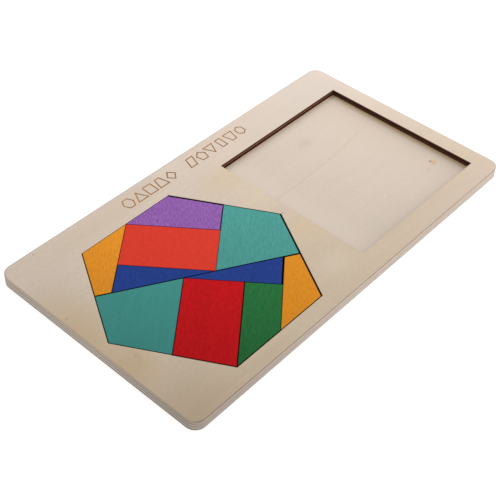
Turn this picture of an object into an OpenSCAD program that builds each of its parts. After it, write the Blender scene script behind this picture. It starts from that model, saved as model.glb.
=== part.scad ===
// Wooden brain teaser: a tray with a hexagonal and a square recess of equal area.
// Ten flat pieces fill the hexagon, and laid out another way they fill the square.
// Millimetres. The origin is the centre of the underside, +Z is up, +X runs along
// the long side from the hexagon to the square, and +Y towards the wide margin.

/* [Sheets] */
// Thickness of the lower sheet
base_t = 2.7; // [1.5:0.1:6]
// Thickness of the upper sheet, which is also the depth of the recesses
frame_t = 3.1; // [2:0.1:8]
// Thickness of the loose pieces
piece_t = 3.1; // [1.5:0.1:8]
// Radius of the tray's four corners, seen from above
corner_r = 5.5; // [2:0.5:12]
// Radius of the sanded arrises, the top and bottom outer edges
arris_r = 0.3; // [0.2:0.1:1.2]

/* [Recesses] */
// Side of the hexagonal recess
hex_side = 54; // [30:1:90]
// Width of the bridge between the hexagon's corner and the square recess
bridge_w = 5.7; // [3:0.1:20]
// Margin between the hexagon's other corner and the tray's left end
left_margin = 5.1; // [3:0.1:20]
// Margin between the square recess and the tray's right end
right_margin = 9.4; // [3:0.1:20]
// Margin in front of the hexagon
front_margin = 7.9; // [3:0.1:20]
// Margin behind the hexagon, wide enough for the engraving
back_margin = 17.2; // [3:0.1:30]

/* [Pieces] */
// Gap between two neighbouring pieces, as the cut leaves it
cut_gap = 0.45; // [0.1:0.05:0.8]
// Gap between the pieces and the walls of the hexagon when they lie centred
hexagon_gap = 0.35; // [0.1:0.05:0.8]
// Gap between the pieces and the walls of the square when they lie centred
square_gap = 0.35; // [0.1:0.05:0.8]

/* [Hidden] */
$fn = 96;
// How far a cutting solid runs past the faces that it cuts
over = 1;

// The hexagon that the pieces were cut from, a little smaller than its recess
hex_apothem = hex_side * cos(30);
set_apothem = hex_apothem - hexagon_gap + cut_gap / 2;
set_side = set_apothem / cos(30);
// Half the side of the square of equal area, which is also the length of the main cuts
half_square = sqrt(set_side * set_apothem * 3) / 2;
square_side = 2 * half_square - cut_gap + 2 * square_gap;

board_w = left_margin + 2 * hex_side + bridge_w + square_side + right_margin;
board_d = front_margin + 2 * hex_apothem + back_margin;
hex_x = left_margin + hex_side - board_w / 2;
hex_y = front_margin + hex_apothem - board_d / 2;
square_x = board_w / 2 - right_margin - square_side / 2;
square_y = hex_y;

// Point at distance d from p, in the direction of angle a
function along(p, a, d) = p + d * [cos(a), sin(a)];

// Where the line through p at angle a meets the line through q at angle b
function meet(p, a, q, b) =
    along(p, a, ((q.x - p.x) * sin(b) - (q.y - p.y) * cos(b)) / sin(b - a));

// Direction from p to q
function heading(p, q) = atan2(q.y - p.y, q.x - p.x);

// Item i of a list that closes on itself
function item(list, i) = list[(i + len(list)) % len(list)];

// A convex outline, listed anticlockwise, with each side moved inwards by d
function inset(outline, d) = [
    for (i = [0 : len(outline) - 1])
        let (
            here = outline[i],
            a = heading(item(outline, i - 1), here),
            b = heading(here, item(outline, i + 1))
        )
        meet(along(here, a + 90, d), a, along(here, b + 90, d), b)
];

// The same outline turned half round the middle of the hexagon
function half_turn(outline) = [for (p = outline) -p];

// Corner n of the pieces' hexagon, counted anticlockwise from the right,
// and the middle of the side that follows it
function corner(n) = along([0, 0], 60 * n, set_side);
function side_middle(n) = along([0, 0], 60 * n + 30, set_apothem);

// The middle cut halves the hexagon, from the middle of one side to the opposite one.
// The main cuts leave it at the angle that makes each as long as half the square's side.
centre = [0, 0];
middle_angle = -30;
cut_angle = asin(half_square / set_apothem) - 30;

// Ends of the two main cuts of the upper half, on the hexagon and on the middle cut
top = side_middle(1);
upper_right = side_middle(0);
top_end = meet(top, cut_angle, centre, middle_angle);
right_end = meet(upper_right, cut_angle, centre, middle_angle);
// The corners that square off the strip between those cuts
strip_low = meet(top, cut_angle - 90, upper_right, cut_angle);
strip_high = meet(right_end, cut_angle + 90, top, cut_angle);
// In the lower half, the strip is cut instead from the hexagon's corner
lower_split = meet(corner(4), cut_angle, -right_end, cut_angle - 90);

amber_outline = [side_middle(2), top_end, top, corner(2)];
purple_outline = [top, strip_low, upper_right, corner(1)];
scarlet_outline = [top, strip_high, right_end, strip_low];
blue_outline = [strip_high, top_end, right_end];
teal_outline = [upper_right, right_end, side_middle(5), corner(0)];
crimson_outline = [-upper_right, corner(4), lower_split, -right_end];
green_outline = [corner(4), -top, -strip_high, lower_split];

// How far each loose piece has slid on the floor, as shares of the hexagon's gap
amber_left_slide = [0.5, 0.3];
purple_slide = [-1.8, 0.3];
scarlet_slide = [-0.8, 0.1];
blue_left_slide = [-0.1, 0.2];
teal_right_slide = [-0.9, 1.1];
teal_left_slide = [0.2, -0.1];
blue_right_slide = [-1.7, 1.4];
amber_right_slide = [-1.3, 0.2];
crimson_slide = [0, 0.3];
green_slide = [-0.2, 0.3];

// Section through the rim of a sheet, from the centre of its corner outwards,
// with its upper outer edge rounded
module rim_section(thickness) {
    square([corner_r - arris_r, thickness]);
    square([corner_r, thickness - arris_r]);
    translate([corner_r - arris_r, thickness - arris_r]) circle(arris_r);
}

// A sheet of the tray's outline, lying on z = 0, with its upper edge rounded all round
module sheet(thickness) {
    half_x = board_w / 2 - corner_r;
    half_y = board_d / 2 - corner_r;
    translate([-half_x, -half_y, 0]) cube([2 * half_x, 2 * half_y, thickness]);
    for (side = [0 : 3]) {
        reach = side % 2 == 0 ? half_x : half_y;
        half_length = side % 2 == 0 ? half_y : half_x;
        rotate(90 * side) translate([reach, half_length, 0]) {
            rotate([90, 0, 0]) linear_extrude(2 * half_length) rim_section(thickness);
            rotate_extrude(angle = 90) rim_section(thickness);
        }
    }
}

// Outline of the hexagonal recess, with a corner to the right
module hexagon() {
    polygon([for (n = [0 : 5]) along(centre, 60 * n, hex_side)]);
}

// The plain lower sheet, the floor of both recesses
module base_board() {
    color("tan") translate([0, 0, base_t]) mirror([0, 0, 1]) sheet(base_t);
}

// The upper sheet, glued to the lower one, with both recesses cut right through it
module frame_board() {
    color("burlywood") translate([0, 0, base_t]) difference() {
        sheet(frame_t);
        translate([0, 0, -over]) linear_extrude(frame_t + 2 * over) {
            translate([hex_x, hex_y]) hexagon();
            translate([square_x, square_y]) square(square_side, center = true);
        }
    }
}

// A loose piece lying on the floor of the hexagonal recess
module piece(outline, slide) {
    translate([hex_x + hexagon_gap * slide.x, hex_y + hexagon_gap * slide.y, base_t])
        linear_extrude(piece_t) polygon(inset(outline, cut_gap / 2));
}

module amber_quad_left() { color("goldenrod") piece(amber_outline, amber_left_slide); }
module purple_quad() { color("mediumpurple") piece(purple_outline, purple_slide); }
module scarlet_rectangle() { color("tomato") piece(scarlet_outline, scarlet_slide); }
module blue_triangle_left() { color("darkslateblue") piece(blue_outline, blue_left_slide); }
module teal_quad_right() { color("cadetblue") piece(teal_outline, teal_right_slide); }
module teal_quad_left() { color("cadetblue") piece(half_turn(teal_outline), teal_left_slide); }
module blue_triangle_right() { color("darkslateblue") piece(half_turn(blue_outline), blue_right_slide); }
module amber_quad_right() { color("goldenrod") piece(half_turn(amber_outline), amber_right_slide); }
module crimson_quad() { color("crimson") piece(crimson_outline, crimson_slide); }
module green_quad() { color("seagreen") piece(green_outline, green_slide); }

base_board();
frame_board();
amber_quad_left();
purple_quad();
scarlet_rectangle();
blue_triangle_left();
teal_quad_right();
teal_quad_left();
blue_triangle_right();
amber_quad_right();
crimson_quad();
green_quad();
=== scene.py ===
"""Looks of the wooden brain teaser: a plywood tray and its stained loose pieces.

The scene is in metres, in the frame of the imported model, and the sizes named below are in
millimetres. The tray lies on z = 0 with its long side along X. The camera, the lamps and
the floor come first, then the colours and marks of the woods, then their materials, and
then the upper sheet with its engraving.
"""

import math

import bmesh
import bpy
from mathutils import Matrix, Vector


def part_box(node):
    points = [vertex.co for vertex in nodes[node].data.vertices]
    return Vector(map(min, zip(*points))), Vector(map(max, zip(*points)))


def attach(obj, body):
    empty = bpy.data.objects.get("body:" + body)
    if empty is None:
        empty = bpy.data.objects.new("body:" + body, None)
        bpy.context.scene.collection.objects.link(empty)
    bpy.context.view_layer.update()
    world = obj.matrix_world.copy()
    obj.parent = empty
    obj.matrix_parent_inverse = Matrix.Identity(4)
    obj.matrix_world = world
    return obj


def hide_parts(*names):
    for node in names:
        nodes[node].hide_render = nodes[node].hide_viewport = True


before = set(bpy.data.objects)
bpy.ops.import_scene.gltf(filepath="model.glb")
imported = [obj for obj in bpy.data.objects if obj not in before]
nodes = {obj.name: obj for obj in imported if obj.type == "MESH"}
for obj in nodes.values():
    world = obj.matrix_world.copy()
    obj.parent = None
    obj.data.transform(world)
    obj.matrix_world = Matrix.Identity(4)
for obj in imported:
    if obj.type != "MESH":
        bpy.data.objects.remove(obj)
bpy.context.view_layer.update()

# The tray

MM = 0.001
# What counts as the same height or place
TOLERANCE = 0.01
HEX_SIDE = 54
HEX_APOTHEM = HEX_SIDE * math.cos(math.radians(30))
LEFT_MARGIN = 5.1
RIGHT_MARGIN = 9.4
FRONT_MARGIN = 7.9
BRIDGE_W = 5.7
CORNER_R = 5.5
FRAME_LOW, FRAME_HIGH = (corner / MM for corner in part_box("frame_board"))
TOP_Z = FRAME_HIGH.z
FLOOR_Z = FRAME_LOW.z
# The middle of the hexagonal recess. At the tray's top, it is the point from which the
# places of the camera and of the marks in the wood are measured.
HEX_X = FRAME_LOW.x + LEFT_MARGIN + HEX_SIDE
HEX_Y = FRAME_LOW.y + FRONT_MARGIN + HEX_APOTHEM
SQUARE_LEFT = HEX_X + HEX_SIDE + BRIDGE_W
SQUARE_RIGHT = FRAME_HIGH.x - RIGHT_MARGIN
SQUARE_HALF = (SQUARE_RIGHT - SQUARE_LEFT) / 2
SQUARE_BACK = HEX_Y + SQUARE_HALF
# The outlines of the recesses, anticlockwise from the right and from the front left
HEXAGON = [
    Vector((HEX_X, HEX_Y)) + HEX_SIDE * Vector((math.cos(a), math.sin(a)))
    for a in (math.radians(60 * n) for n in range(6))
]
SQUARE = [
    Vector((x, HEX_Y + side * SQUARE_HALF))
    for x, side in ((SQUARE_LEFT, -1), (SQUARE_RIGHT, -1), (SQUARE_RIGHT, 1), (SQUARE_LEFT, 1))
]

# Camera and lamps

# The camera's place from the hexagon's middle, in hexagon sides, and the way it looks
CAMERA_FROM_HEX = Vector((-4.1852, -4.0786, 6.0229))
CAMERA_FORWARD = Vector((0.54334, 0.46247, -0.70064))
CAMERA_RIGHT = Vector((0.66906, -0.74265, 0.02865))
CAMERA_LENS = 74.93
CLIP_START = 10
# Two softboxes beyond the tray's right end, one behind the tray and a distant one in front
# of it: the place, what it faces, its length and height, and its power in watts
LAMPS = {
    "softbox_back": ((150, 200, 250), (40, 0, 0), 300, 300, 0.44),
    "softbox_end": ((420, 0, 160), (40, 0, 0), 600, 200, 0.36),
    "softbox_right": ((420, -100, 200), (40, 0, 0), 300, 300, 0.65),
    "softbox_front": ((0, -782, 166), (0, 0, 0), 400, 250, 0.72),
}
# Strength of the light from all round
WORLD_LIGHT = 0.432
WHITE = (1.0, 1.0, 1.0, 1.0)
# The white floor: its own grey, the glow that only the camera sees, its size, and how far
# under the tray it lies
FLOOR_GREY = 0.9
FLOOR_GLOW = 0.66
FLOOR_SIZE = 4000
FLOOR_DROP = 0.1


def add_object(name, data):
    """A new object in the scene."""
    made = bpy.data.objects.new(name, data)
    bpy.context.scene.collection.objects.link(made)
    return made


def facing(place, forward, right):
    """The matrix that puts a camera or lamp at a place, looking forward."""
    back = -forward.normalized()
    side = (right - right.dot(back) * back).normalized()
    turn = Matrix((side, back.cross(side), back)).transposed()
    return Matrix.Translation(place) @ turn.to_4x4()


def make_camera():
    """The camera at the photograph's viewing angle."""
    data = bpy.data.cameras.new("camera")
    data.lens = CAMERA_LENS
    data.clip_start = CLIP_START * MM
    camera = add_object("camera", data)
    reference = Vector((HEX_X, HEX_Y, TOP_Z))
    place = (reference + CAMERA_FROM_HEX * HEX_SIDE) * MM
    camera.matrix_world = facing(place, CAMERA_FORWARD, CAMERA_RIGHT)
    bpy.context.scene.camera = camera


def make_lamp(name, place, aim, length, height, power):
    """A softbox whose long side is level and which faces what it aims at."""
    data = bpy.data.lights.new(name, "AREA")
    data.energy = power
    data.shape = "RECTANGLE"
    data.size = length * MM
    data.size_y = height * MM
    lamp = add_object(name, data)
    lamp.visible_camera = False
    forward = Vector(aim) - Vector(place)
    lamp.matrix_world = facing(Vector(place) * MM, forward, Vector((-forward.y, forward.x, 0)))


class Nodes:
    """Short calls for the nodes of one material or of the world."""

    def __init__(self, owner):
        owner.use_nodes = True
        self.tree = owner.node_tree

    def add(self, kind, **settings):
        """A new node with its settings."""
        node = self.tree.nodes.new(kind)
        for name, value in settings.items():
            setattr(node, name, value)
        return node

    def feed(self, socket, value):
        """Links a socket to another one, or gives it a plain value."""
        if isinstance(value, bpy.types.NodeSocket):
            self.tree.links.new(value, socket)
        else:
            socket.default_value = value

    def math(self, operation, *values):
        """Arithmetic on numbers or sockets."""
        node = self.add("ShaderNodeMath", operation=operation)
        for socket, value in zip(node.inputs, values):
            self.feed(socket, value)
        return node.outputs[0]

    def step(self, value, start, end):
        """0 before start, 1 after end and smooth between them; start may be the larger."""
        node = self.add("ShaderNodeMapRange", interpolation_type="SMOOTHSTEP")
        self.feed(node.inputs["Value"], value)
        node.inputs["From Min"].default_value = start
        node.inputs["From Max"].default_value = end
        return node.outputs["Result"]

    def vector(self, x, y, z):
        """A vector from three numbers or sockets."""
        node = self.add("ShaderNodeCombineXYZ")
        for socket, value in zip(node.inputs, (x, y, z)):
            self.feed(socket, value)
        return node.outputs[0]

    def split(self, vector):
        """The three numbers of a vector."""
        node = self.add("ShaderNodeSeparateXYZ")
        self.feed(node.inputs[0], vector)
        return node.outputs

    def noise(self, vector, detail=2.0, roughness=0.6):
        """Smooth noise about one unit across, mostly from NOISE_LOW to NOISE_HIGH."""
        node = self.add("ShaderNodeTexNoise")
        self.feed(node.inputs["Vector"], vector)
        node.inputs["Scale"].default_value = 1.0
        node.inputs["Detail"].default_value = detail
        node.inputs["Roughness"].default_value = roughness
        return node.outputs["Fac"]

    def mix(self, share, first, second, blend="MIX"):
        """The second colour laid over the first, by a share from 0 to 1."""
        node = self.add("ShaderNodeMix", data_type="RGBA", blend_type=blend)
        self.feed(node.inputs["Factor"], share)
        for name, value in (("A", first), ("B", second)):
            socket = next(s for s in node.inputs if s.name == name and s.type == "RGBA")
            self.feed(socket, value)
        return next(s for s in node.outputs if s.type == "RGBA")

    def times(self, first, second):
        """Two colours multiplied."""
        return self.mix(1.0, first, second, "MULTIPLY")

    def ramp(self, value, stops):
        """The colour at a value from 0 to 1, between stops of a place and a colour."""
        node = self.add("ShaderNodeValToRGB")
        self.feed(node.inputs[0], value)
        elements = node.color_ramp.elements
        while len(elements) < len(stops):
            elements.new(0.5)
        for element, (place, colour) in zip(elements, stops):
            element.position = place
            element.color = colour
        return node.outputs[0]


def make_floor():
    """A pale floor that looks white to the camera and keeps the tray's soft shadow."""
    mesh = bpy.data.meshes.new("floor")
    half = FLOOR_SIZE / 2 * MM
    corners = [(x * half, y * half, -FLOOR_DROP * MM) for x, y in ((-1, -1), (1, -1), (1, 1), (-1, 1))]
    mesh.from_pydata(corners, [], [range(4)])
    floor = add_object("floor", mesh)
    material = bpy.data.materials.new("white_floor")
    n = Nodes(material)
    n.tree.nodes.clear()
    matt = n.add("ShaderNodeBsdfDiffuse")
    matt.inputs["Color"].default_value = (FLOOR_GREY, FLOOR_GREY, FLOOR_GREY, 1)
    glow = n.add("ShaderNodeEmission")
    seen = n.add("ShaderNodeLightPath").outputs["Is Camera Ray"]
    n.feed(glow.inputs["Strength"], n.math("MULTIPLY", seen, FLOOR_GLOW))
    both = n.add("ShaderNodeAddShader")
    n.feed(both.inputs[0], matt.outputs[0])
    n.feed(both.inputs[1], glow.outputs[0])
    n.feed(n.add("ShaderNodeOutputMaterial").inputs["Surface"], both.outputs[0])
    mesh.materials.append(material)


def make_world():
    """Even pale light from all round, white where the camera sees it."""
    world = bpy.data.worlds.new("studio")
    bpy.context.scene.world = world
    n = Nodes(world)
    n.tree.nodes.clear()
    seen = n.add("ShaderNodeLightPath").outputs["Is Camera Ray"]
    background = n.add("ShaderNodeBackground")
    background.inputs["Color"].default_value = WHITE
    n.feed(background.inputs["Strength"], n.math("MAXIMUM", seen, WORLD_LIGHT))
    n.feed(n.add("ShaderNodeOutputWorld").inputs["Surface"], background.outputs[0])


def rgb(red, green, blue):
    """A colour from 0 to 255 as the eye reads it, in the linear values of a node."""
    shares = [value / 255 for value in (red, green, blue)]
    linear = [s / 12.92 if s <= 0.04045 else ((s + 0.055) / 1.055) ** 2.4 for s in shares]
    return (*linear, 1.0)


# Colours and marks of the woods

# The upper sheet at the front and at the back, and the lower sheet
FRAME_FRONT = rgb(224, 204, 179)
FRAME_BACK = rgb(235, 217, 200)
BASE_FACE = rgb(229, 213, 197)
# The floor of the engraving, the scorched edges of the recesses, the painted highlight on the
# far rim, and the gaps between the pieces: scorched walls, and painted shade on their floor
ENGRAVED = rgb(198, 148, 92)
SINGED = rgb(96, 52, 36)
RIM_HIGHLIGHT = rgb(203, 197, 196)
CHAR_AND_GAP_SHADE = rgb(20, 12, 9)
# The two teals are one stain: the paler copy on the right piece is painted light, and the deeper copy
# on the left piece painted shade
STAINS = {
    "amber": rgb(248, 159, 48),
    "deep_amber": rgb(242, 155, 44),
    "purple": rgb(160, 107, 187),
    "scarlet": rgb(241, 70, 53),
    "blue": rgb(44, 71, 150),
    "lit_teal": rgb(88, 170, 161),
    "shaded_teal": rgb(73, 153, 145),
    "crimson": rgb(207, 26, 31),
    "green": rgb(47, 118, 65),
}
# Each loose piece: its stain, the direction of its grain in degrees, how far its streaks
# and its flecks stand out, and how much painted light brightens it per hexagon side along the way
# below
PIECES = {
    "amber_quad_left": ("amber", 38, 0.01, 0.09, 0.2),
    "purple_quad": ("purple", 46, 0.03, 0.21, 0.0),
    "scarlet_rectangle": ("scarlet", 38, 0.01, 0.075, 0.0),
    "blue_triangle_left": ("blue", 38, 0.03, 0.11, 0.0),
    "teal_quad_right": ("lit_teal", 38, 0.01, 0.095, 0.15),
    "teal_quad_left": ("shaded_teal", 38, 0.03, 0.035, 0.2),
    "blue_triangle_right": ("blue", 38, 0.03, 0.11, 0.0),
    "amber_quad_right": ("deep_amber", 38, 0.01, 0.09, 0.12),
    "crimson_quad": ("crimson", 38, 0.03, 0.10, 0.2),
    "green_quad": ("green", 38, 0.04, 0.12, 0.32),
}
# The way in which the pieces' painted light grows: towards the lamps at the right end and the back
PAINTED_LIGHT_WAY = Vector((0.87, 0.5))
# How far streaks and flecks stand out on the bare wood
FRAME_GRAIN = (0.025, 0.04)
BASE_GRAIN = (0.012, 0.025)
ENGRAVED_GRAIN = (0.2, 0.2)

# Length along the grain and width across it of long streaks, of blotches, of fine flecks,
# and of the grain on the scorched walls
STREAK_SIZE = (40, 1.8)
BLOTCH_SIZE = (34, 16)
FLECK_SIZE = (2.6, 0.42)
WALL_GRAIN_SIZE = (3.0, 0.5)
# The streaks' share in the soft figure, the rest being blotches, and in the relief
STREAK_SHARE = 0.6
STREAK_RELIEF = 0.3
# The noise that turns into a full change of tone
NOISE_LOW, NOISE_HIGH = 0.3, 0.7
SOFT_LOW, SOFT_HIGH = 0.36, 0.64
FLECK_LOW, FLECK_HIGH = 0.34, 0.66
# How far the noise moves on from one wood to the next, and the first piece's number
SEED_STEP = (37, 53, 11)
FIRST_PIECE_SEED = 5.0

# Gloss, roughness and relief of raw wood, stained wood and scorched wood
WOOD_SHEEN = 0.05
STAIN_SHEEN = 0.015
WOOD_ROUGHNESS = 0.55
STAIN_ROUGHNESS = 0.6
SCORCH_ROUGHNESS = 0.7
WOOD_RELIEF = 0.02
SCORCH_RELIEF = 0.05
BUMP_STRENGTH = 0.6

# Where a face counts as level and not as a wall, by its normal's Z, and how softly the
# walls that face X give way to those that face Y
FLAT_LOW, FLAT_HIGH = 0.55, 0.85
TURN_SOFTNESS = 0.3

# Veneers on the tray's outer walls, from the top down: share of the height and colour.
# They lie crosswise, so the end walls and the long walls differ. The darker stops at the
# very top and bottom are painted shade along the rounded top edge and at the foot.
END_PLIES_AND_SHADE = (
    (0.00, rgb(230, 207, 175)),
    (0.13, rgb(250, 231, 210)),
    (0.23, rgb(254, 234, 216)),
    (0.27, rgb(196, 177, 160)),
    (0.32, rgb(192, 174, 158)),
    (0.36, rgb(255, 239, 226)),
    (0.50, rgb(255, 241, 229)),
    (0.54, rgb(211, 189, 169)),
    (0.59, rgb(211, 189, 169)),
    (0.63, rgb(255, 245, 231)),
    (0.77, rgb(255, 252, 238)),
    (0.81, rgb(216, 191, 172)),
    (0.87, rgb(210, 188, 170)),
    (0.91, rgb(240, 220, 204)),
    (1.00, rgb(204, 180, 162)),
)
SIDE_PLIES_AND_SHADE = (
    (0.00, rgb(200, 177, 156)),
    (0.09, rgb(197, 173, 155)),
    (0.22, rgb(248, 232, 215)),
    (0.42, rgb(233, 215, 199)),
    (0.65, rgb(238, 222, 209)),
    (0.90, rgb(243, 228, 214)),
    (1.00, rgb(194, 166, 144)),
)
# Thin uneven stripes in the veneers: how many to a millimetre, and their darkest tone
VENEER_STRIPES = 4.0
VENEER_TONE = (0.93, 0.925, 0.92, 1)
# Painted shade darkens the outer walls near the tray's front left corner: its tone there,
# how far away it ends along the front wall, and how much sooner along the left one
CORNER_SHADE = 0.75
CORNER_REACH = 100.0
CORNER_SOONER = 1.7
# The scorched walls of the square recess, in the same way as the veneers
CHAR_SIDE = (
    (0.00, rgb(12, 5, 3)),
    (0.16, rgb(20, 8, 5)),
    (0.24, rgb(64, 34, 24)),
    (0.32, rgb(146, 98, 80)),
    (0.42, rgb(174, 118, 95)),
    (0.58, rgb(74, 33, 12)),
    (0.80, rgb(52, 20, 2)),
    (1.00, rgb(80, 40, 10)),
)
CHAR_END = (
    (0.00, rgb(64, 26, 18)),
    (0.16, rgb(114, 60, 51)),
    (0.28, rgb(106, 62, 56)),
    (0.42, rgb(38, 13, 8)),
    (0.50, rgb(54, 31, 23)),
    (0.64, rgb(108, 83, 68)),
    (0.76, rgb(103, 70, 50)),
    (0.88, rgb(74, 42, 18)),
    (1.00, rgb(72, 41, 19)),
)
# The stripes begin between these distances left of the square: the hexagon's walls are black
CHAR_CHANGE = (3, 2)
# Upright stripes of scorch: how many to a millimetre across and upwards, and their tone
SCORCH_ACROSS = 2.5
SCORCH_UPWARD = 0.4
SCORCH_TONE = (0.72, 0.7, 0.68, 1)

# The darker stain at the pieces' edges: its shade, its reach and its strength
SINGE_SHADE = 0.25
SINGE_REACH = 0.2
SINGE_STRENGTH = 0.75
# Scorched stretches of the recesses' upper edges: colour, ends, reach and strength
SINGED_EDGES = (
    (SINGED, SQUARE[1], SQUARE[2], 0.25, 0.7),
    (SINGED, SQUARE[2], SQUARE[3], 0.3, 0.8),
    (CHAR_AND_GAP_SHADE, HEXAGON[1], (HEXAGON[0] + HEXAGON[1]) / 2, 0.35, 0.75),
    (CHAR_AND_GAP_SHADE, HEXAGON[4], (HEXAGON[3] + HEXAGON[4]) / 2, 0.35, 0.85),
    (SINGED, HEXAGON[4], (HEXAGON[4] + HEXAGON[5]) / 2, 0.25, 0.5),
    (SINGED, HEXAGON[0], HEXAGON[5], 0.3, 0.4),
)
# A painted highlight along the top edge of the tray's two far sides: its reach and strength,
# how softly it ends at the corners, and the depths between which it fades out down the wall
RIM_REACH = 1.1
RIM_STRENGTH = 0.85
RIM_SOFTNESS = 1.0
RIM_DEPTHS = (0.6, 0.3)

# Tones of the square recess's floor and how far each reaches from the wall: pale from the left,
# warm from the right, painted light at the foot of the back wall, and darker and yellower at the right
PALE_FLOOR = rgb(237, 221, 205)
WARM_FLOOR = rgb(226, 208, 191)
BACK_FOOT_LIGHT = rgb(250, 224, 192)
RIGHT_FOOT_TONE = rgb(222, 190, 150)
PALE_REACH = 20.0
WARM_REACH = 30.0
BACK_FOOT_LIGHT_REACH = 2.0
RIGHT_FOOT_REACH = 4.0
# How far the painted shade on the floor of the gaps runs on under the pieces and under the upper sheet
GAP_SHADE_REACH = 0.3
GAP_SHADE_OUTSIDE = 1.0
# The depths under the floor between which all of these end, as the underside is plain
MARKED_DEPTHS = (1.0, 0.5)
# The growth line on the square's floor is a shallow curve: its lowest point from the
# hexagon's middle, its rise at GROWTH_HALF from there, its half width, strength and tone,
# and the shares of GROWTH_HALF, squared, between which it fades out
GROWTH_X = 74
GROWTH_Y = 10.1
GROWTH_RISE = 4.5
GROWTH_HALF = 62
GROWTH_WIDTH = 1.1
GROWTH_STRENGTH = 0.2
GROWTH_TONE = rgb(208, 178, 146)
GROWTH_FADE = (1.6, 0.6)
# Marks: colour, place from the hexagon's middle, half widths, strength. The lower sheet
# has a knot with a dark core and a grey spot beside it, and a faint patch.
BASE_MARKS = (
    (rgb(222, 184, 138), (137.7, -27.9), (3.0, 2.5), 0.85),
    (rgb(150, 90, 56), (137.3, -26.2), (1.1, 0.8), 0.95),
    (rgb(206, 198, 196), (131.3, -29.5), (3.2, 2.6), 0.45),
    (rgb(214, 188, 178), (104.2, 27.7), (9, 5), 0.4),
)
# The upper sheet has broad soft patches first, and small specks last. The first patch, darker at the
# front left corner, is painted shade.
FRAME_PATCHES_AND_SHADE = (
    (rgb(176, 150, 118), (-59, -54), (50, 40), 0.42),
    (rgb(212, 184, 136), (-58, 12), (24, 44), 0.55),
    (rgb(208, 180, 134), (-56, -17), (17, 17), 0.5),
    (rgb(232, 208, 164), (-12, 56), (50, 14), 0.2),
    (rgb(242, 226, 206), (38, 62), (12, 6), 0.4),
    (rgb(240, 224, 193), (57, 16), (16, 14), 0.5),
    (rgb(236, 218, 196), (46, -38), (14, 12), 0.5),
    (rgb(220, 207, 190), (152, 0), (14, 62), 0.35),
    (rgb(232, 208, 168), (57, 36), (26, 14), 0.5),
    (rgb(232, 208, 168), (57, -14), (24, 14), 0.45),
    (rgb(196, 172, 138), (-10, -52), (20, 6), 0.2),
    (rgb(222, 211, 200), (140, 52), (74, 34), 0.55),
    (rgb(224, 205, 193), (130, -54), (80, 16), 0.5),
    (rgb(120, 94, 76), (-42, 61.3), (0.6, 0.35), 0.7),
    (rgb(150, 122, 98), (-52.8, 59.3), (0.9, 0.5), 0.2),
    (rgb(128, 100, 76), (-56.6, 22.1), (1.1, 0.45), 0.45),
    (rgb(190, 162, 128), (-50.3, -13.5), (1.8, 4), 0.3),
    (rgb(140, 100, 70), (54.9, 0), (0.9, 0.6), 0.5),
)

# Materials of the woods


def shade(colour, factor):
    """A colour made brighter or darker."""
    return tuple(channel * factor for channel in colour[:3]) + (1.0,)


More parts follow.
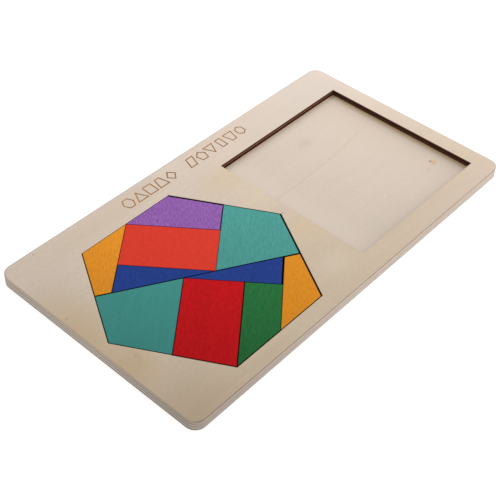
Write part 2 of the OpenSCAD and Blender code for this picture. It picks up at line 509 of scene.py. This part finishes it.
class Wood(Nodes):
    """A wood that is solid through: its grain runs along one direction of the tray."""

    def __init__(self, name, grain_angle=0.0, seed=0.0):
        self.material = bpy.data.materials.new(name)
        super().__init__(self.material)
        self.shader = self.tree.nodes["Principled BSDF"]
        place = self.add("ShaderNodeTexCoord").outputs["Object"]
        scaled = self.add("ShaderNodeMapping")
        self.feed(scaled.inputs["Vector"], place)
        scaled.inputs["Scale"].default_value = (1 / MM, 1 / MM, 1 / MM)
        self.place = scaled.outputs[0]
        self.x, self.y, self.z = self.split(self.place)
        turned = self.add("ShaderNodeMapping")
        self.feed(turned.inputs["Vector"], self.place)
        turned.inputs["Rotation"].default_value = (0, 0, -math.radians(grain_angle))
        turned.inputs["Location"].default_value = [seed * part for part in SEED_STEP]
        self.along, self.across, self.depth = self.split(turned.outputs[0])
        normal = self.split(self.add("ShaderNodeNewGeometry").outputs["True Normal"])
        self.normal = [self.math("ABSOLUTE", part) for part in normal]
        self.flat = self.step(self.normal[2], FLAT_LOW, FLAT_HIGH)
        self.relief = None

    def stretched(self, length, width):
        """Where to read noise so that it is that long along the grain and that wide across."""
        return self.vector(
            self.math("MULTIPLY", self.along, 1 / length),
            self.math("MULTIPLY", self.across, 1 / width),
            self.math("MULTIPLY", self.depth, 1 / width),
        )

    def grained(self, colour, streaking, flecking):
        """The colour with long soft streaks and with fine flecks along the grain."""
        streaks = self.noise(self.stretched(*STREAK_SIZE), detail=4.0)
        blotches = self.noise(self.stretched(*BLOTCH_SIZE), roughness=0.5)
        flecks = self.noise(self.stretched(*FLECK_SIZE))
        self.relief = self.math("MULTIPLY_ADD", streaks, STREAK_RELIEF, flecks)
        blotches = self.math("MULTIPLY", blotches, 1 - STREAK_SHARE)
        soft = self.math("MULTIPLY_ADD", streaks, STREAK_SHARE, blotches)
        soft = self.step(soft, SOFT_LOW, SOFT_HIGH)
        flecks = self.step(flecks, FLECK_LOW, FLECK_HIGH)
        colour = self.mix(soft, shade(colour, 1 + streaking), shade(colour, 1 - streaking))
        fine = self.mix(flecks, shade(WHITE, 1 + flecking), shade(WHITE, 1 - flecking))
        return self.times(colour, fine)

    def walls(self, ends, sides, bottom):
        """Stripes from the top down to a height, on the walls that face X and those that face Y."""
        share = self.math("DIVIDE", self.math("SUBTRACT", TOP_Z, self.z), TOP_Z - bottom)
        facing_x = self.math("SUBTRACT", self.normal[0], self.normal[1])
        facing_x = self.step(facing_x, -TURN_SOFTNESS, TURN_SOFTNESS)
        return self.mix(facing_x, self.ramp(share, sides), self.ramp(share, ends))

    def uneven(self, colour, tone, across, upward):
        """The colour times a tone in stripes, so many to a millimetre across and upwards."""
        place = self.vector(
            self.math("MULTIPLY", self.x, across),
            self.math("MULTIPLY", self.y, across),
            self.math("MULTIPLY", self.z, upward),
        )
        share = self.step(self.noise(place, detail=3.0), NOISE_LOW, NOISE_HIGH)
        return self.times(colour, self.mix(share, WHITE, tone))

    def charred(self, walls):
        """The uneven scorch that the laser leaves on a cut wall."""
        return self.uneven(walls, SCORCH_TONE, SCORCH_ACROSS, SCORCH_UPWARD)

    def brightened(self, colour, factor):
        """The colour times one number."""
        return self.times(colour, self.vector(factor, factor, factor))

    def dot(self, direction):
        """The place in millimetres, multiplied with a level direction."""
        node = self.add("ShaderNodeVectorMath", operation="DOT_PRODUCT")
        self.feed(node.inputs[0], self.place)
        node.inputs[1].default_value = (*direction, 0)
        return node.outputs["Value"]

    def inside(self, outline):
        """Distance inwards from the nearest side of a convex anticlockwise outline."""
        nearest = None
        for i, here in enumerate(outline):
            inwards = (here - outline[i - 1]).normalized().orthogonal()
            distance = self.math("SUBTRACT", self.dot(inwards), inwards.dot(here))
            nearest = distance if nearest is None else self.math("MINIMUM", nearest, distance)
        return nearest

    def line_distance(self, start, end):
        """Distance from a straight stretch, with square ends."""
        middle = (start + end) / 2
        along = (end - start).normalized()
        parts = []
        for direction, half in ((along.orthogonal(), 0.0), (along, (end - start).length / 2)):
            offset = self.math("SUBTRACT", self.dot(direction), direction.dot(middle))
            parts.append(self.math("SUBTRACT", self.math("ABSOLUTE", offset), half))
        return self.math("MAXIMUM", *parts)

    def margin(self, colour, tone, distance, reach, strength=1.0):
        """Another tone at an edge, which fades out with the distance from it."""
        share = self.math("MULTIPLY", self.step(distance, reach, 0.0), strength)
        return self.mix(share, colour, tone)

    def rim_distance(self):
        """Distance inwards from the tray's outline with its round corners."""
        squares = []
        for value, low, high in zip((self.x, self.y), FRAME_LOW.xy, FRAME_HIGH.xy):
            from_middle = self.math("ABSOLUTE", self.math("SUBTRACT", value, (low + high) / 2))
            past = self.math("SUBTRACT", from_middle, (high - low) / 2 - CORNER_R)
            past = self.math("MAXIMUM", past, 0.0)
            squares.append(self.math("MULTIPLY", past, past))
        return self.math("SUBTRACT", CORNER_R, self.math("SQRT", self.math("ADD", *squares)))

    def spot(self, colour, tone, place, size, strength):
        """A soft oval mark: place in millimetres from the hexagon's middle, half widths."""
        across = self.math("DIVIDE", self.math("SUBTRACT", self.x, HEX_X + place[0]), size[0])
        upward = self.math("DIVIDE", self.math("SUBTRACT", self.y, HEX_Y + place[1]), size[1])
        across, upward = (self.math("MULTIPLY", part, part) for part in (across, upward))
        distance = self.math("SQRT", self.math("ADD", across, upward))
        return self.margin(colour, tone, distance, 1.0, strength)

    def finish(self, colour, roughness, sheen=WOOD_SHEEN, relief=WOOD_RELIEF):
        """Gives the shader its colour, roughness, gloss and fine relief in millimetres."""
        self.feed(self.shader.inputs["Base Color"], colour)
        self.shader.inputs["Roughness"].default_value = roughness
        self.shader.inputs["Specular IOR Level"].default_value = sheen
        if self.relief is None:
            self.relief = self.noise(self.stretched(*WALL_GRAIN_SIZE))
        bump = self.add("ShaderNodeBump")
        bump.inputs["Strength"].default_value = BUMP_STRENGTH
        bump.inputs["Distance"].default_value = relief * MM
        self.feed(bump.inputs["Height"], self.relief)
        self.feed(self.shader.inputs["Normal"], bump.outputs[0])
        return self.material


def top_outline(node):
    """The corners of a convex piece's top face in millimetres, anticlockwise."""
    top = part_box(node)[1].z
    corners = [v.co / MM for v in nodes[node].data.vertices if top - v.co.z < TOLERANCE * MM]
    middle = sum((c.xy for c in corners), Vector((0, 0))) / len(corners)
    corners = {(round(c.x, 3), round(c.y, 3)) for c in corners}
    return sorted(map(Vector, corners), key=lambda c: math.atan2(c.y - middle.y, c.x - middle.x))


def stained_wood(node, stain, angle, streaking, flecking, painted_light, seed):
    """A loose piece: stained face with faint grain and painted light, singed edges and scorched walls.
    """
    w = Wood("stained_" + node, angle, seed)
    outline = top_outline(node)
    middle = sum(outline, Vector((0, 0))) / len(outline)
    # Painted light: the face grows brighter towards the lamps, and is as written at its middle
    light_slope = PAINTED_LIGHT_WAY * painted_light / HEX_SIDE
    painted_brightness = w.math("ADD", w.dot(light_slope), 1.0 - light_slope.dot(middle))
    face = w.brightened(w.grained(STAINS[stain], streaking, flecking), painted_brightness)
    scorched = shade(STAINS[stain], SINGE_SHADE)
    face = w.margin(face, scorched, w.inside(outline), SINGE_REACH, SINGE_STRENGTH)
    return w.finish(w.mix(w.flat, w.charred(CHAR_AND_GAP_SHADE), face), STAIN_ROUGHNESS, STAIN_SHEEN)


def outer_walls(w, face):
    """The face's own wood where it is level, and veneers with painted shade on the outer walls."""
    walls = w.walls(END_PLIES_AND_SHADE, SIDE_PLIES_AND_SHADE, 0.0)
    walls = w.uneven(walls, VENEER_TONE, 1.0, VENEER_STRIPES)
    # Painted shade towards the front left corner
    from_left = w.math("SUBTRACT", w.x, FRAME_LOW.x)
    from_front = w.math("SUBTRACT", w.y, FRAME_LOW.y)
    from_corner = w.math("MULTIPLY_ADD", from_front, CORNER_SOONER, from_left)
    painted_brightness = w.math("MULTIPLY_ADD", from_corner, (1 - CORNER_SHADE) / CORNER_REACH, CORNER_SHADE)
    walls = w.brightened(walls, w.math("MINIMUM", painted_brightness, 1.0))
    return w.mix(w.flat, walls, face)


def frame_wood():
    """Upper sheet: pale plywood darker in front, marked, singed; painted corner shade and rim
    highlight.
    """
    w = Wood("frame_plywood", seed=1.0)
    back = w.step(w.y, FRAME_LOW.y, FRAME_HIGH.y)
    face = w.times(w.mix(back, FRAME_FRONT, FRAME_BACK), w.grained(WHITE, *FRAME_GRAIN))
    for mark in FRAME_PATCHES_AND_SHADE:
        face = w.spot(face, *mark)
    for tone, start, end, reach, strength in SINGED_EDGES:
        face = w.margin(face, tone, w.line_distance(start, end), reach, strength)
    # Painted highlight along the far sides' top edge
    past_x = w.math("SUBTRACT", w.x, FRAME_HIGH.x)
    past_y = w.math("SUBTRACT", w.y, FRAME_HIGH.y)
    past = w.math("MAXIMUM", past_x, past_y)
    far = w.step(past, -CORNER_R - RIM_SOFTNESS, -CORNER_R + RIM_SOFTNESS)
    upper = w.step(w.z, *(TOP_Z - depth for depth in RIM_DEPTHS))
    strength = w.math("MULTIPLY", w.math("MULTIPLY", far, upper), RIM_STRENGTH)
    colour = w.margin(outer_walls(w, face), RIM_HIGHLIGHT, w.rim_distance(), RIM_REACH, strength)
    return w.finish(colour, WOOD_ROUGHNESS)


def growth_line(w, face):
    """The face with the growth line drawn over it."""
    away = w.math("MULTIPLY", w.math("SUBTRACT", w.x, HEX_X + GROWTH_X), 1 / GROWTH_HALF)
    away = w.math("MULTIPLY", away, away)
    line = w.math("MULTIPLY_ADD", away, GROWTH_RISE, HEX_Y + GROWTH_Y)
    distance = w.math("ABSOLUTE", w.math("SUBTRACT", w.y, line))
    strength = w.math("MULTIPLY", w.step(away, *GROWTH_FADE), GROWTH_STRENGTH)
    return w.margin(face, GROWTH_TONE, distance, GROWTH_WIDTH, strength)


def base_wood():
    """The lower sheet: plain plywood below, and on top the recess floors with painted light and shade.
    """
    w = Wood("base_plywood", seed=2.0)
    plain = w.grained(BASE_FACE, *BASE_GRAIN)
    from_left = w.math("SUBTRACT", w.x, SQUARE_LEFT)
    from_right = w.math("SUBTRACT", SQUARE_RIGHT, w.x)
    from_back = w.math("SUBTRACT", SQUARE_BACK, w.y)
    face = w.margin(plain, PALE_FLOOR, from_left, PALE_REACH)
    face = w.margin(face, WARM_FLOOR, from_right, WARM_REACH)
    # Painted light at the foot of the back wall
    face = w.margin(face, BACK_FOOT_LIGHT, from_back, BACK_FOOT_LIGHT_REACH)
    # Darker and yellower next to the right wall
    face = w.margin(face, RIGHT_FOOT_TONE, from_right, RIGHT_FOOT_REACH)
    face = growth_line(w, face)
    for mark in BASE_MARKS:
        face = w.spot(face, *mark)
    # Painted shade: the floor that shows between the pieces in the hexagon is made dark
    covered = w.inside(top_outline(next(iter(PIECES))))
    for node in list(PIECES)[1:]:
        covered = w.math("MAXIMUM", covered, w.inside(top_outline(node)))
    in_hexagon = w.step(w.inside(HEXAGON), -GAP_SHADE_OUTSIDE, 0.0)
    face = w.mix(w.math("MINIMUM", w.step(covered, GAP_SHADE_REACH, 0.0), in_hexagon), face, CHAR_AND_GAP_SHADE)
    marked = w.step(w.z, *(FLOOR_Z - depth for depth in MARKED_DEPTHS))
    return w.finish(outer_walls(w, w.mix(marked, plain, face)), WOOD_ROUGHNESS)


def scorched_wood():
    """The laser-cut walls of the recesses: striped in the square, and black in the hexagon."""
    w = Wood("scorched_plywood", seed=3.0)
    square = w.step(w.x, *(SQUARE_LEFT - distance for distance in CHAR_CHANGE))
    walls = w.mix(square, CHAR_AND_GAP_SHADE, w.walls(CHAR_END, CHAR_SIDE, FLOOR_Z))
    return w.finish(w.charred(walls), SCORCH_ROUGHNESS, relief=SCORCH_RELIEF)


def engraved_wood():
    """The lightly browned grooves of the engraving."""
    w = Wood("engraved_plywood", seed=4.0)
    return w.finish(w.grained(ENGRAVED, *ENGRAVED_GRAIN), SCORCH_ROUGHNESS, relief=SCORCH_RELIEF)


# The upper sheet and its engraving

# The engraving is a plain row of small shapes in two groups, in the wide margin: the
# shapes' height, their width as a share of it, and their pitch, line width and depth
MOTIF_HEIGHT = 6.1
MOTIF_WIDTH = 0.84
MOTIF_PITCH = 6.97
MOTIF_LINE = 0.6
MOTIF_DEPTH = 0.2
# How far behind the hexagon's middle the row lies, in hexagon sides, and how many places
# are left free between the groups
MOTIF_Y = 1.0362
MOTIF_GAP = 1
# The material slots of the upper sheet
FACE_SLOT, CHAR_SLOT, ENGRAVED_SLOT = range(3)
# Corners of the solid's mesh that are closer than this are one
MERGE_DISTANCE = 0.001
# By the Z of their normals, faces under the first are walls, and those past the second level
WALL_TILT = 0.5
LEVEL_TILT = 0.999
# Edges that turn by more than this stay sharp
SHARP_ANGLE = math.radians(30)


def regular(corners, turn=0.0):
    """A regular outline one unit high, anticlockwise, with a corner at the angle turn."""
    angles = [math.radians(turn + 360 * i / corners) for i in range(corners)]
    points = [Vector((math.cos(a), math.sin(a))) for a in angles]
    low, high = (pick(p.y for p in points) for pick in (min, max))
    return [(p - Vector((0, (low + high) / 2))) / (high - low) for p in points]


def slanted(bottom, top, lean=0.0):
    """Four corners one unit high, anticlockwise: two level sides, the upper one pushed right."""
    return [
        Vector((-bottom / 2 - lean / 2, -0.5)),
        Vector((bottom / 2 - lean / 2, -0.5)),
        Vector((top / 2 + lean / 2, 0.5)),
        Vector((-top / 2 + lean / 2, 0.5)),
    ]


MOTIF_GROUPS = (
    (
        regular(6),
        regular(3, 90),
        slanted(0.95, 0.95),
        slanted(1.1, 0.55),
        regular(4),
    ),
    (
        slanted(0.8, 0.8, 0.4),
        regular(5, 90),
        regular(3, 270),
        slanted(0.6, 0.6),
        slanted(0.5, 1.1),
        regular(6, 30),
    ),
)


def inset(outline, distance):
    """A convex anticlockwise outline with each side moved inwards."""
    moved = []
    for i, here in enumerate(outline):
        before, after = outline[i - 1], outline[(i + 1) % len(outline)]
        one, two = ((b - a).normalized().orthogonal() for a, b in ((before, here), (here, after)))
        moved.append(here + (one + two) * distance / (1 + one.dot(two)))
    return moved


def motif_outlines():
    """The middle lines of the engraved shapes, in millimetres on the tray."""
    places = sum(len(group) for group in MOTIF_GROUPS) + MOTIF_GAP * (len(MOTIF_GROUPS) - 1)
    middle_x = (FRAME_LOW.x + FRAME_HIGH.x) / 2
    x = middle_x - MOTIF_PITCH * (places - 1) / 2
    outlines = []
    for group in MOTIF_GROUPS:
        for shape in group:
            middle = Vector((x, HEX_Y + MOTIF_Y * HEX_SIDE))
            outlines.append([middle + Vector((p.x * MOTIF_WIDTH, p.y)) * MOTIF_HEIGHT for p in shape])
            x += MOTIF_PITCH
        x += MOTIF_PITCH * MOTIF_GAP
    return outlines


def loop(bm, outline, z):
    """A closed loop of edges at one height, from an outline in millimetres."""
    verts = [bm.verts.new((p.x * MM, p.y * MM, z * MM)) for p in outline]
    edges = [bm.edges.new((verts[i - 1], v)) for i, v in enumerate(verts)]
    return verts, edges


def band(bm, first, second, slot):
    """Quads between two loops with the same number of corners."""
    for i in range(len(first)):
        face = bm.faces.new((first[i - 1], first[i], second[i], second[i - 1]))
        face.material_index = slot


def engrave(bm, outline):
    """Adds one shape's groove, and returns the outer edges that the top face has to meet."""
    outer_line = inset(outline, -MOTIF_LINE / 2)
    inner_line = inset(outline, MOTIF_LINE / 2)
    outer, outer_edges = loop(bm, outer_line, TOP_Z)
    inner_top, _ = loop(bm, inner_line, TOP_Z)
    outer_low, _ = loop(bm, outer_line, TOP_Z - MOTIF_DEPTH)
    inner_low, _ = loop(bm, inner_line, TOP_Z - MOTIF_DEPTH)
    band(bm, outer, outer_low, ENGRAVED_SLOT)
    band(bm, outer_low, inner_low, ENGRAVED_SLOT)
    band(bm, inner_low, inner_top, ENGRAVED_SLOT)
    bm.faces.new(inner_top)
    return outer_edges


def on_outside(place):
    """Whether a place in millimetres is nearer the tray's outline than any recess is."""
    from_ends = min(place.x - FRAME_LOW.x, FRAME_HIGH.x - place.x)
    from_sides = min(place.y - FRAME_LOW.y, FRAME_HIGH.y - place.y)
    return min(from_ends, from_sides) < LEFT_MARGIN / 2


def engraved_frame():
    """The upper sheet: the solid's own walls, and a top face with the engraving cut in."""
    mesh = bpy.data.meshes.new("frame_plywood")
    bm = bmesh.new()
    bm.from_mesh(nodes["frame_board"].data)
    bmesh.ops.remove_doubles(bm, verts=bm.verts, dist=MERGE_DISTANCE * MM)
    bm.normal_update()
    top = set()
    for face in bm.faces:
        place = face.calc_center_median() / MM
        wall = abs(face.normal.z) < WALL_TILT
        face.material_index = CHAR_SLOT if wall and not on_outside(place) else FACE_SLOT
        if face.normal.z > LEVEL_TILT and place.z > TOP_Z - TOLERANCE:
            top.add(face)
    filled = [e for e in bm.edges if sum(f in top for f in e.link_faces) == 1]
    bmesh.ops.delete(bm, geom=list(top), context="FACES")
    for outline in motif_outlines():
        filled += engrave(bm, outline)
    bmesh.ops.triangle_fill(bm, edges=filled, use_beauty=True, normal=(0, 0, 1))
    bmesh.ops.recalc_face_normals(bm, faces=bm.faces)
    for face in bm.faces:
        face.smooth = True
    for edge in bm.edges:
        edge.smooth = edge.calc_face_angle(math.pi) < SHARP_ANGLE
    bm.to_mesh(mesh)
    bm.free()
    sheet = add_object("frame_plywood", mesh)
    for material in (frame_wood(), scorched_wood(), engraved_wood()):
        mesh.materials.append(material)
    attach(sheet, "root")
    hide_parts("frame_board")


def dress(node, material):
    """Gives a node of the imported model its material."""
    nodes[node].data.materials.clear()
    nodes[node].data.materials.append(material)


# The whole scene

bpy.context.scene.view_settings.view_transform = "Standard"
make_camera()
make_world()
make_floor()
for lamp_name, lamp in LAMPS.items():
    make_lamp(lamp_name, *lamp)

dress("base_board", base_wood())
for number, (piece, finish) in enumerate(PIECES.items()):
    dress(piece, stained_wood(piece, *finish, number + FIRST_PIECE_SEED))
engraved_frame()
